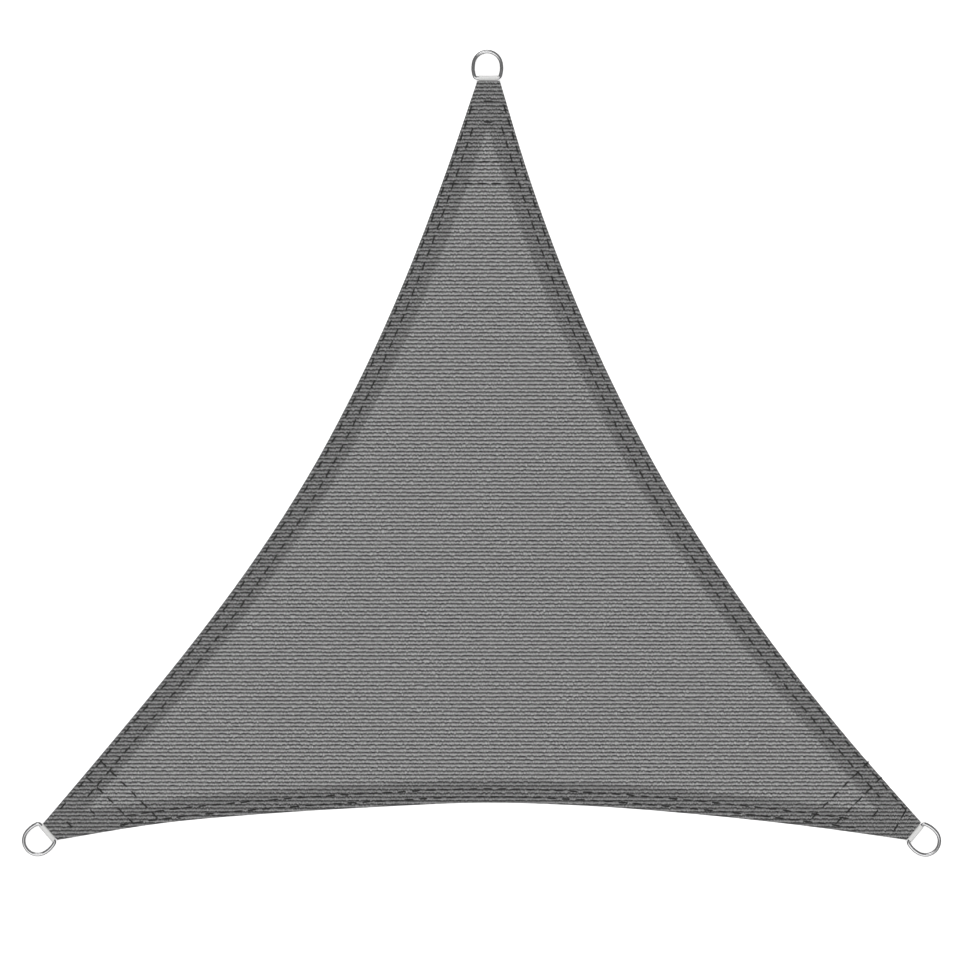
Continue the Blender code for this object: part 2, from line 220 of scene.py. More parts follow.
# The picture: how much it takes in, and the point that it looks straight down on
VIEW_WIDE = 2.087  # metres across the picture
VIEW_MIDDLE = (-0.00345, -0.05825)
LENS = 200.0  # mm
SENSOR = 36.0  # mm
FLOOR_DROP = 0.4 * MM  # the floor is this far under the cloth
FLOOR_GLOW = 0.45  # keeps the floor white up to the cloth
FLOOR_SIZE = 12.0  # from its middle to each side
FLOOR_TONE = 0.97
FLOOR_MIRRORED = 0.17  # its tone in the wire's reflections
SKY_LIGHT = 0.90
SKY_BRIGHT = (-0.15, -0.65, 0.745)  # the middle of the bright patch that the wire mirrors
SKY_PATCH = (0.68, 0.92)  # cosines of the angles from that middle where it begins and where it is full
SKY_MIRRORED = (0.2, 1.5)  # strength of the mirrored sky outside the patch and in it
LAMP_LIGHT = 0.55
LAMP_WIDE = 30.0  # degrees, as seen from the cloth
LAMP_TIPPED = (-40.0, -12.0, 0.0)  # degrees about X, Y and Z


# ---------------------------------------------------------------- plain geometry


def smooth(value):
    """An even S from 0 to 1 for an array of values, held level outside that range."""
    value = np.clip(value, 0.0, 1.0)
    return value * value * (3.0 - 2.0 * value)


class Corner:
    """One blunt corner, with an axis out of the cloth and one along its cut end, to the left of that."""

    def __init__(self, x, y, width, points_to, strap_off, ring_off):
        turn = math.radians(points_to)
        self.middle = np.array([x, y]) * MM
        self.out = np.array([math.cos(turn), math.sin(turn)])
        self.along = np.array([-math.sin(turn), math.cos(turn)])
        self.half = width * MM / 2
        self.strap_off = strap_off * MM
        self.ring_off = ring_off * MM

    def at(self, inward, along):
        """The place this far into the cloth from the cut end, and this far to the left."""
        return self.middle - self.out * inward + self.along * along

    def local(self, points):
        """(inward, left) of each place, with left counted from the strap's middle."""
        away = points - self.middle
        return -away @ self.out, away @ self.along - self.strap_off

    def matrix(self, along=0.0, height=0.0):
        """Local X to the left, Y into the cloth, Z up, from the cut end's middle."""
        x, y = self.at(0.0, along)
        turn = math.atan2(self.along[1], self.along[0])
        return Matrix.Translation((x, y, height)) @ Matrix.Rotation(turn, 4, "Z")


def hollow_edge(start, end, depths):
    """Points from start to end, on the inner side of their straight line by the depths at each eighth."""
    knots = np.concatenate([[0.0], depths, [0.0]]) * MM
    slopes = np.gradient(knots)
    chord = end - start
    inward = np.array([-chord[1], chord[0]]) / np.hypot(*chord)
    spans = len(knots) - 1
    points = []
    for step in range(EDGE_STEPS + 1):
        share = step / EDGE_STEPS
        span = min(int(share * spans), spans - 1)
        t = share * spans - span
        depth = (
            (2 * t**3 - 3 * t**2 + 1) * knots[span]
            + (t**3 - 2 * t**2 + t) * slopes[span]
            + (3 * t**2 - 2 * t**3) * knots[span + 1]
            + (t**3 - t**2) * slopes[span + 1]
        )
        points.append(start + chord * share + inward * depth)
    return np.array(points)


def lengths_along(line):
    """How far along the line each of its points is."""
    return np.concatenate([[0.0], np.cumsum(np.hypot(*np.diff(line, axis=0).T))])


def finer(line, step):
    """The same line with a point about every step, and at each of its own points."""
    made = [line[:1]]
    for start, end in zip(line[:-1], line[1:]):
        count = max(1, round(float(np.hypot(*(end - start))) / step))
        shares = np.arange(1, count + 1)[:, None] / count
        made.append(start + (end - start) * shares)
    return np.concatenate(made)


def inner_line(line, width):
    """The line's points moved to its left by this width, or by one width for each point."""
    ahead = np.gradient(line, axis=0)
    ahead /= np.hypot(ahead[:, 0], ahead[:, 1])[:, None]
    return line + np.stack([-ahead[:, 1], ahead[:, 0]], axis=1) * np.reshape(width, (-1, 1))


def distance_to(line, points):
    """How far each point is from a line of straight pieces."""
    best = np.full(len(points), np.inf)
    for start, end in zip(line[:-1], line[1:]):
        piece = end - start
        share = np.clip((points - start) @ piece / (piece @ piece), 0.0, 1.0)
        away = points - start - share[:, None] * piece
        best = np.minimum(best, np.hypot(away[:, 0], away[:, 1]))
    return best


def inside(outline, points):
    """Whether each point is inside the closed outline."""
    crossings = np.zeros(len(points), int)
    for start, end in zip(outline, np.roll(outline, -1, axis=0)):
        over = (start[1] > points[:, 1]) != (end[1] > points[:, 1])
        rise = end[1] - start[1] if end[1] != start[1] else 1.0
        meets = start[0] + (points[:, 1] - start[1]) * (end[0] - start[0]) / rise
        crossings += over & (points[:, 0] < meets)
    return crossings % 2 == 1


# ---------------------------------------------------------------- the cloth


class Sail:
    """The cut of the cloth, and the height of its two faces anywhere on it, before the ribs are raised."""

    def __init__(self):
        self.corners = {name: Corner(*row) for name, row in CORNERS.items()}
        self.edges = []
        self.hems = []
        for start, end, hem, depths in EDGES:
            left, right = self.corners[start], self.corners[end]
            self.edges.append(hollow_edge(left.at(0, left.half), right.at(0, -right.half), depths))
            self.hems.append(hem * MM)
        self.outline = np.concatenate(self.edges)
        after = self.edges[1:] + self.edges[:1]
        self.ends = [np.array([edge[-1], then[0]]) for edge, then in zip(self.edges, after)]

    def rim_distance(self, points):
        """(distance to the rim, distance to the nearest cut end)"""
        to_edges = np.min([distance_to(edge, points) for edge in self.edges], axis=0)
        to_ends = np.min([distance_to(end, points) for end in self.ends], axis=0)
        return np.minimum(to_edges, to_ends), to_ends

    def lifted(self, points):
        """How high the straps lift the cloth off the ground near the corners."""
        height = np.zeros(len(points))
        for corner in self.corners.values():
            inward, _ = corner.local(points)
            near = np.hypot(*(points - corner.middle).T) < 2 * LIFT_LONG
            height += np.where(near, LIFT * smooth(1.0 - inward / LIFT_LONG), 0.0)
        return height

    def swelling(self, points):
        """How far the pocket parts the layers."""
        height = np.zeros(len(points))
        for corner in self.corners.values():
            inward, left = corner.local(points)
            near = np.hypot(*(points - corner.middle).T) < 2 * POCKET_LONG
            side = smooth(1.0 - (np.abs(left) - SWELL_LEVEL) / SWELL_SIDE)
            end = smooth(1.0 - (inward - POCKET_LONG) / SWELL_END)
            height += np.where(near, POCKET_HIGH * side * end, 0.0)
        return height

    def hem_share(self, points):
        """1 on the hems, 0 on the single layer, over a slope."""
        share = np.zeros(len(points))
        for edge, width in zip(self.edges, self.hems):
            share = np.maximum(share, smooth(1.0 - (distance_to(edge, points) - width) / HEM_STEP))
        return share

    def groove(self, points):
        """The step at the turned-in edge of each hem on the back, which runs out as one layer comes down."""
        deep = np.zeros(len(points))
        on_hem = np.zeros(len(points), bool)
        for edge, width in zip(self.edges, self.hems):
            past = distance_to(edge, points) - width
            on_hem |= past < HEM_LIP / 2
            deep = np.maximum(deep, np.clip(1.0 - (past - HEM_LIP) / (HEM_STEP - HEM_LIP), 0.0, 1.0))
        return np.where(on_hem, 0.0, deep * HEM_GROOVE)

    def rounding(self, points):
        """How far the rim's rounding takes each face back."""
        to_rim, to_ends = self.rim_distance(points)
        radius = END_ROUND + (FOLD_ROUND - END_ROUND) * smooth((to_ends - END_REACH) / END_FADE)
        across = np.clip(1.0 - to_rim / radius, 0.0, 1.0)
        return radius * (1.0 - np.sqrt(1.0 - across * across))

    def back(self, points):
        return self.lifted(points) + self.groove(points) + self.rounding(points)

    def crest(self, points):
        """The front without its ribs and without the rounding of its rim."""
        return self.lifted(points) + LAYER * (1.0 + self.hem_share(points)) + self.swelling(points)

    def front(self, points):
        return self.crest(points) - self.rounding(points)

    def rows(self, to_each_rib, spacing, lines):
        """Points in rows along the ribs, each row shifted on the one before, off the rim and the lines."""
        low, high = self.outline.min(axis=0), self.outline.max(axis=0)
        step = RIB_PITCH / to_each_rib
        made = []
        for row in range(math.floor(low[1] / step), math.ceil(high[1] / step) + 1):
            x = np.arange(low[0], high[0], spacing) + spacing * (row * ROW_SHIFT % 1.0)
            made.append(np.column_stack([x, np.full(len(x), row * step)]))
        points = np.concatenate(made)
        points = points[inside(self.outline, points)]
        clear = self.rim_distance(points)[0] > CLEAR
        for line in lines:
            sparse = np.concatenate([line[:-1:CLEAR_STEP], line[-1:]])
            clear &= distance_to(sparse, points) > CLEAR
        return points[clear]


def fill(outline, lines, spots, stretch):
    """(points, triangles, numbers of the outline's points) of a flat sheet with an edge along every line.
    The triangles are made with Y stretched, so that they run along the ribs."""
    points = []
    edges = []
    for line in (outline, *lines):
        first = len(points)
        points.extend(Vector((x, y * stretch)) for x, y in line)
        edges.extend((first + i, first + i + 1) for i in range(len(line) - 1))
    edges.append((len(outline) - 1, 0))
    points.extend(Vector((x, y * stretch)) for x, y in spots)
    made, _, faces, origins, *_ = delaunay_2d_cdt(points, edges, [], 0, SAME_PLACE, True)
    made = np.array([tuple(point) for point in made]) / (1.0, stretch)
    faces = np.array(faces)
    faces = faces[inside(outline, made[faces].mean(axis=1))]
    number = {origin: at for at, group in enumerate(origins) for origin in group}
    used, faces = np.unique(faces, return_inverse=True)
    place = {int(old): new for new, old in enumerate(used)}
    rim = [place[number[i]] for i in range(len(outline))]
    return made[used], faces.reshape(-1, 3), rim


def swelling_lines(corner):
    """Lines where the cloth bends beside the pocket and past its end."""
    start, end = 2.0 * MM, POCKET_LONG + SWELL_END
    middle = corner.strap_off
    for share in (0.0, 0.25, 0.5, 0.75, 1.0):
        half = SWELL_LEVEL + SWELL_SIDE * share
        for left in (middle - half, middle + half):
            yield np.array([corner.at(start, left), corner.at(end, left)])


def sheet_mesh(sail):
    """The closed body of the cloth, without its pockets and ribs."""
    outline = np.concatenate([finer(edge, RIM_STEP) for edge in sail.edges])
    insets = []
    for line in (*sail.edges, *sail.ends):
        fine = finer(line, RIM_STEP)
        insets += [inner_line(fine, inset)[1:-1] for inset in RIM_INSETS]
    front_hems = []
    back_hems = []
    for edge, width in zip(sail.edges, sail.hems):
        fine = finer(edge, HEM_LINE_STEP)
        front_hems += [inner_line(fine, width + HEM_STEP * share) for share in (0.0, 0.5, 1.0)]
        back_hems += [inner_line(fine, width + more) for more in (0.0, HEM_LIP, HEM_STEP)]
    bends = [finer(line, HEM_LINE_STEP) for c in sail.corners.values() for line in swelling_lines(c)]
    keep = [line[inside(sail.outline, line)] for line in front_hems + bends]
    keep_back = [line[inside(sail.outline, line)] for line in back_hems]
    stretch = SPACING_FRONT / (RIB_PITCH / ROWS_FRONT)
    spots = sail.rows(ROWS_FRONT, SPACING_FRONT, keep)
    front, front_faces, front_rim = fill(outline, insets + keep, spots, stretch)
    spots = sail.rows(ROWS_BACK, SPACING_BACK, keep_back)
    back, back_faces, back_rim = fill(outline, insets + keep_back, spots, stretch)

    top = np.column_stack([front, sail.front(front)])
    bottom = np.column_stack([back, sail.back(back)])
    below = len(top)
    count = len(outline)
    after = np.arange(1, count + 1) % count
    rim = np.array(front_rim)
    under = np.array(back_rim) + below
    wall = np.concatenate(
        [
            np.column_stack([rim, under, under[after]]),
            np.column_stack([rim, under[after], rim[after]]),
        ]
    )
    faces = np.concatenate([front_faces, back_faces[:, ::-1] + below, wall])
    return plain_mesh("sail_cloth", np.concatenate([top, bottom]), faces)


def plain_mesh(name, points, triangles):
    """A mesh of triangles, from arrays."""
    mesh = bpy.data.meshes.new(name)
    mesh.vertices.add(len(points))
    mesh.vertices.foreach_set("co", np.asarray(points, np.float32).ravel())
    mesh.loops.add(triangles.size)
    mesh.loops.foreach_set("vertex_index", np.asarray(triangles, np.int32).ravel())
    mesh.polygons.add(len(triangles))
    mesh.polygons.foreach_set("loop_start", np.arange(0, triangles.size, 3, dtype=np.int32))
    mesh.update(calc_edges=True)
    return mesh


def points_of(mesh):
    """The places of the mesh's points, as an array."""
    points = np.empty(len(mesh.vertices) * 3, np.float32)
    mesh.vertices.foreach_get("co", points)
    return points.reshape(-1, 3).astype(float)


def lift_at(inward):
    """Height of the back of the cloth this far in from the cut end."""
    return LIFT * float(smooth(1.0 - inward / LIFT_LONG))


def leg_stations(length):
    """Distances in from the cut end where the strap, and the pocket for it, bend."""
    steps = 12
    return [min(LIFT_LONG * i / steps, length) for i in range(steps + 1)] + [length]


def tube_mesh(name, sections):
    """A closed mesh through sections that all have the same number of points."""
    around = len(sections[0])
    last = (len(sections) - 1) * around
    faces = [tuple(range(around))]
    for first in range(0, last, around):
        for side in range(around):
            a, b = first + side, first + (side + 1) % around
            faces.append((a, a + around, b + around, b))
    faces.append(tuple(reversed(range(last, last + around))))
    mesh = bpy.data.meshes.new(name)
    mesh.from_pydata([point for section in sections for point in section], [], faces)
    return mesh


def pocket_cutter(name, corner):
    """A slab as wide and high as the pocket, which follows the lifted cloth and stands out of its cut end."""
    outside = -4.0 * MM
    half = POCKET_WIDE / 2
    sections = []
    for inward in (outside, *leg_stations(POCKET_LONG)):
        low = lift_at(max(inward, 0.0)) + LAYER
        high = low + POCKET_HIGH
        corners = ((-half, low), (half, low), (half, high), (-half, high))
        sections.append([(left, inward, height) for left, height in corners])
    mesh = tube_mesh(name, sections)
    mesh.transform(corner.matrix(corner.strap_off))
    mesh.update()
    return mesh


def object_of(name, data):
    made = bpy.data.objects.new(name, data)
    bpy.context.scene.collection.objects.link(made)
    return made


def finished(obj, name):
    """A plain mesh object of what the modifiers make of this one, which is then removed."""
    graph = bpy.context.evaluated_depsgraph_get()
    mesh = bpy.data.meshes.new_from_object(obj.evaluated_get(graph), depsgraph=graph)
    mesh.name = name
    bpy.data.objects.remove(obj, do_unlink=True)
    return object_of(name, mesh)


def cut_pockets(obj, sail):
    """The cloth with its three pockets cut out."""
    cutters = []
    for name, corner in sail.corners.items():
        cutter = object_of(f"pocket_{name}", pocket_cutter(f"pocket_{name}", corner))
        cut = obj.modifiers.new(cutter.name, "BOOLEAN")
        cut.operation = "DIFFERENCE"
        cut.solver = "EXACT"
        cut.object = cutter
        cutters.append(cutter)
    made = finished(obj, "cut_cloth")
    for cutter in cutters:
        bpy.data.objects.remove(cutter, do_unlink=True)
    return made


def mark_cloth(mesh, sail):
    """The UV map, which is the place on the cloth in metres, and what the rib tree and the finish read."""
    points = points_of(mesh)
    flat = points[:, :2]
    to_rim, _ = sail.rim_distance(flat)
    full = smooth((to_rim - RIB_START) / RIB_FADE)
    near = 0.01 * MM
    on_front = np.abs(points[:, 2] - sail.front(flat)) < near
    on_back = np.abs(points[:, 2] - sail.back(flat)) < near
    off_groove = 1.0 - np.clip(sail.groove(flat) / (GROOVE_FADE * HEM_GROOVE), 0.0, 1.0)
    marks = {
        "on_front": on_front * full,
        "on_back": (on_back & ~on_front) * full * off_groove,
        "two_layers": sail.hem_share(flat),
    }
    for name, values in marks.items():
        layer = mesh.attributes.new(name, "FLOAT", "POINT")
        layer.data.foreach_set("value", np.asarray(values, np.float32))
    corners = np.empty(len(mesh.loops), np.int32)
    mesh.loops.foreach_get("vertex_index", corners)
    place = mesh.uv_layers.new(name="cloth")
    place.uv.foreach_set("vector", np.asarray(flat[corners], np.float32).ravel())


# ---------------------------------------------------------------- node trees


class Graph:
    """A node tree, and short ways to add to it."""

    def __init__(self, tree):
        self.tree = tree

    def add(self, kind, inputs=None, **settings):
        made = self.tree.nodes.new(kind)
        for name, value in settings.items():
            setattr(made, name, value)
        for name, value in (inputs or {}).items():
            self.feed(made.inputs[name], value)
        return made

    def feed(self, socket, value):
        if isinstance(value, bpy.types.NodeSocket):
            self.tree.links.new(value, socket)
        else:
            socket.default_value = value

    def math(self, operation, *values):
        made = self.add("ShaderNodeMath", operation=operation)
        for socket, value in zip(made.inputs, values):
            self.feed(socket, value)
        return made.outputs[0]

    def between(self, value, low, high, to_low=0.0, to_high=1.0, ease="SMOOTHSTEP"):
        """value's way from low to high, turned into the way from to_low to to_high."""
        sizes = {"Value": value, "From Min": low, "From Max": high, "To Min": to_low, "To Max": to_high}
        return self.add("ShaderNodeMapRange", sizes, interpolation_type=ease).outputs["Result"]

    def spread(self, noise, low, high, ease="SMOOTHSTEP"):
        """The usual range of a noise, turned into the way from low to high."""
        return self.between(noise, *NOISE_SPAN, low, high, ease=ease)

    def blend(self, share, first, second):
        """A number that goes from first to second with share."""
        made = self.add("ShaderNodeMix", data_type="FLOAT")
        for socket, value in zip((made.inputs[0], made.inputs[2], made.inputs[3]), (share, first, second)):
            self.feed(socket, value)
        return made.outputs[0]

    def vector(self, x=0.0, y=0.0, z=0.0):
        return self.add("ShaderNodeCombineXYZ", {"X": x, "Y": y, "Z": z}).outputs[0]

    def noise(self, vector, scale=1.0, detail=0.0, rough=0.5):
        sizes = {"Vector": vector, "Scale": scale, "Detail": detail, "Roughness": rough}
        return self.add("ShaderNodeTexNoise", sizes, noise_dimensions="3D").outputs[0]

    def grey(self, tone, blue=1.0):
        """A grey of this tone. Its blue is so many times the tone."""
        blue = tone if blue == 1.0 else self.math("MULTIPLY", tone, blue)
        return self.add("ShaderNodeCombineColor", {"Red": tone, "Green": tone, "Blue": blue}).outputs[0]

    def chance(self, vector):
        """A number from 0 to 1 that is different for each whole vector."""
        return self.add("ShaderNodeTexWhiteNoise", {"Vector": vector}, noise_dimensions="3D").outputs["Value"]

    def random(self, low, high, seed):
        """A number from low to high that is different for each point."""
        made = self.add("FunctionNodeRandomValue", {"Seed": seed}, data_type="FLOAT")
        self.feed(made.inputs[2], low)
        self.feed(made.inputs[3], high)
        return made.outputs[1]

    def curve(self, value, stops):
        """A smooth curve through the stops, each (value, result)."""
        made = self.add("ShaderNodeFloatCurve", {"Value": value})
        line = made.mapping.curves[0]
        line.points[0].location = stops[0]
        line.points[1].location = stops[-1]
        for stop in stops[1:-1]:
            line.points.new(*stop)
        made.mapping.update()
        return made.outputs[0]


def new_tree(kind, name, inputs, outputs):
    """(tree, Graph, its inputs, its output node). The names of its sockets are given for each kind."""
    tree = bpy.data.node_groups.new(name, kind)
    for side, sockets in (("INPUT", inputs), ("OUTPUT", outputs)):
        for holds, labels in sockets.items():
            for label in labels:
                tree.interface.new_socket(label, in_out=side, socket_type=f"NodeSocket{holds}")
    graph = Graph(tree)
    return tree, graph, graph.add("NodeGroupInput").outputs, graph.add("NodeGroupOutput")


def run_tree(obj, tree, values, name):
    """A plain mesh of the object with this Geometry Nodes tree run on it."""
    modifier = obj.modifiers.new(tree.name, "NODES")
    modifier.node_group = tree
    sockets = {item.name: item.identifier for item in tree.interface.items_tree if item.in_out == "INPUT"}
    for label, value in values.items():
        modifier[sockets[label]] = value
    return finished(obj, name)


def end_tree(graph, shape, finish, out):
    """Turns copies into real shapes, and gives all of it its finish."""
    real = graph.add("GeometryNodeRealizeInstances", {"Geometry": shape})
    done = graph.add("GeometryNodeSetMaterial", {"Geometry": real.outputs[0], "Material": finish})
    graph.feed(out.inputs[0], done.outputs[0])


def rib_tree():
    """Raises the ribs of the front, sinks the valleys of the back, and lets the ribs sway a little."""
    tree, g, given, out = new_tree(
        "GeometryNodeTree",
        "raise_ribs",
        {
            "Geometry": ("Cloth",),
            "Float": ("Rib Pitch", "Rib Height", "Back Depth", "Sway", "Unevenness", "Seed"),
            "Material": ("Finish",),
        },
        {"Geometry": ("Cloth",)},
    )
    place = g.add("ShaderNodeSeparateXYZ", {0: g.add("GeometryNodeInputPosition").outputs[0]}).outputs
    front, back = (
        g.add("GeometryNodeInputNamedAttribute", {"Name": name}, data_type="FLOAT").outputs[0]
        for name in ("on_front", "on_back")
    )
    along = g.math("DIVIDE", place["Y"], given["Rib Pitch"])
    rib = g.math("ROUND", along)
    turn = g.math("MULTIPLY", g.math("SUBTRACT", along, rib), 2 * math.pi)
    crest = g.math("MULTIPLY_ADD", g.math("COSINE", turn), 0.5, 0.5)
    pace = g.math("MULTIPLY", place["X"], UNEVEN_PACE)
    spot = g.vector(pace, g.math("MULTIPLY", rib, RIB_APART), given["Seed"])
    uneven = g.math("MULTIPLY", g.math("SUBTRACT", g.noise(spot, detail=1.0), 0.5), 2.0)
    tall = g.math("MULTIPLY_ADD", uneven, given["Unevenness"], 1.0)
    height = g.math("MULTIPLY", front, given["Rib Height"])
    raised = g.math("MULTIPLY", height, g.math("MULTIPLY", crest, tall))
    depth = g.math("MULTIPLY", back, given["Back Depth"])
    sunk = g.math("MULTIPLY", depth, g.math("SUBTRACT", 1.0, crest))
    paces = (g.math("MULTIPLY", place[axis], pace) for axis, pace in zip("XY", SWAY_PACE))
    spot = g.vector(*paces, given["Seed"])
    stray = g.math("MULTIPLY", g.math("SUBTRACT", g.noise(spot), 0.5), 2.0)
    stray = g.math("MULTIPLY", g.math("MULTIPLY", stray, given["Sway"]), g.math("ADD", front, back))
    moved = g.add(
        "GeometryNodeSetPosition",
        {"Geometry": given["Cloth"], "Offset": g.vector(0.0, stray, g.math("ADD", raised, sunk))},
    )
    end_tree(g, moved.outputs[0], given["Finish"], out)
    return tree


def stitch_tree():
    """Lays a stitch of thread at even steps along every row, its ends down in the cloth."""
    tree, g, given, out = new_tree(
        "GeometryNodeTree",
        "lay_stitches",
        {
            "Geometry": ("Rows",),
            "Float": ("Stitch Pitch", "Stitch Length", "Thread Width", "Flatness", "Sink"),
            "Int": ("Seed",),
            "Material": ("Finish",),
        },
        {"Geometry": ("Stitches",)},
    )
    steps = g.math("DIVIDE", g.add("GeometryNodeSplineLength").outputs["Length"], given["Stitch Pitch"])
    way = g.add("GeometryNodeCaptureAttribute", {"Geometry": given["Rows"]}, domain="POINT")
    way.capture_items.new("VECTOR", "Ahead")
    g.feed(way.inputs["Ahead"], g.add("GeometryNodeInputTangent").outputs[0])
    rows = g.add(
        "GeometryNodeResampleCurve",
        {"Curve": way.outputs["Geometry"], "Count": g.math("ADD", g.math("ROUND", steps), 1.0)},
        mode="COUNT",
    ).outputs[0]
    half = g.math("MULTIPLY", given["Stitch Length"], 0.5)
    line = g.add(
        "GeometryNodeCurvePrimitiveLine",
        {"Start": g.vector(g.math("MULTIPLY", half, -1.0)), "End": g.vector(half)},
    ).outputs[0]
    line = g.add(
        "GeometryNodeResampleCurve",
        {"Curve": line, "Count": STITCH_POINTS},
        mode="COUNT",
    ).outputs[0]
    share = g.add("GeometryNodeSplineParameter").outputs["Factor"]
    out_of_middle = g.math("ABSOLUTE", g.math("MULTIPLY_ADD", share, 2.0, -1.0))
    steep = g.math("POWER", out_of_middle, STITCH_SINK_POWER)
    dip = g.math("MULTIPLY", steep, g.math("MULTIPLY", given["Sink"], -1.0))
    line = g.add("GeometryNodeSetPosition", {"Geometry": line, "Offset": g.vector(0.0, 0.0, dip)}).outputs[0]
    ring = g.add(
        "GeometryNodeCurvePrimitiveCircle",
        {"Resolution": THREAD_SIDES, "Radius": g.math("MULTIPLY", given["Thread Width"], 0.5)},
    ).outputs[0]
    thin = g.math("MULTIPLY", g.math("POWER", out_of_middle, THREAD_TAPER_POWER), THREAD_TAPER)
    thick = g.math("SUBTRACT", 1.0, thin)
    thread = g.add(
        "GeometryNodeCurveToMesh",
        {"Curve": line, "Profile Curve": ring, "Scale": thick, "Fill Caps": True},
    ).outputs[0]
    flat = g.vector(1.0, 1.0, given["Flatness"])
    squeezed = g.add("GeometryNodeTransform", {"Geometry": thread, "Scale": flat}).outputs[0]
    smooth_thread = g.add("GeometryNodeSetShadeSmooth", {"Geometry": squeezed}).outputs[0]
    facing = g.add(
        "FunctionNodeAlignRotationToVector",
        {"Vector": way.outputs["Ahead"]},
        axis="X",
        pivot_axis="Z",
    ).outputs[0]
    askew = g.random(-STITCH_SKEW, STITCH_SKEW, given["Seed"])
    turned = g.add(
        "FunctionNodeRotateRotation",
        {"Rotation": facing, "Rotate By": g.vector(0.0, 0.0, askew)},
        rotation_space="LOCAL",
    ).outputs[0]
    longer = g.random(*STITCH_LENGTHS, g.math("ADD", given["Seed"], 1.0))
    laid = g.add(
        "GeometryNodeInstanceOnPoints",
        {
            "Points": rows,
            "Instance": smooth_thread,
            "Rotation": turned,
            "Scale": g.vector(longer, 1.0, 1.0),
        },
    )
    end_tree(g, laid.outputs[0], given["Finish"], out)
    return tree


# ---------------------------------------------------------------- finishes


def new_finish(name):
    """(material, Graph, its Principled BSDF)"""
    made = bpy.data.materials.new(name)
    made.use_nodes = True
    return made, Graph(made.node_tree), made.node_tree.nodes["Principled BSDF"]


def place_group(graph, tree, inputs):
    """The outputs of a group placed in a finish, with its own values."""
    made = graph.add("ShaderNodeGroup", node_tree=tree)
    for name, value in inputs.items():
        graph.feed(made.inputs[name], value)
    return made.outputs


def yarn_group():
    """Fine drawn-out grain of yarn: a share from 0 to 1, long along X."""
    tree, g, given, out = new_tree(
        "ShaderNodeTree",
        "yarn_grain",
        {"Vector": ("Place",), "Float": ("Length", "Width")},
        {"Float": ("Grain",)},
    )
    place = g.add("ShaderNodeSeparateXYZ", {0: given["Place"]}).outputs
    spot = g.vector(
        g.math("DIVIDE", place["X"], given["Length"]),
        g.math("DIVIDE", place["Y"], given["Width"]),
        g.math("DIVIDE", place["Z"], given["Width"]),
    )
    g.feed(out.inputs["Grain"], g.noise(spot, detail=2.0, rough=0.55))
    return tree


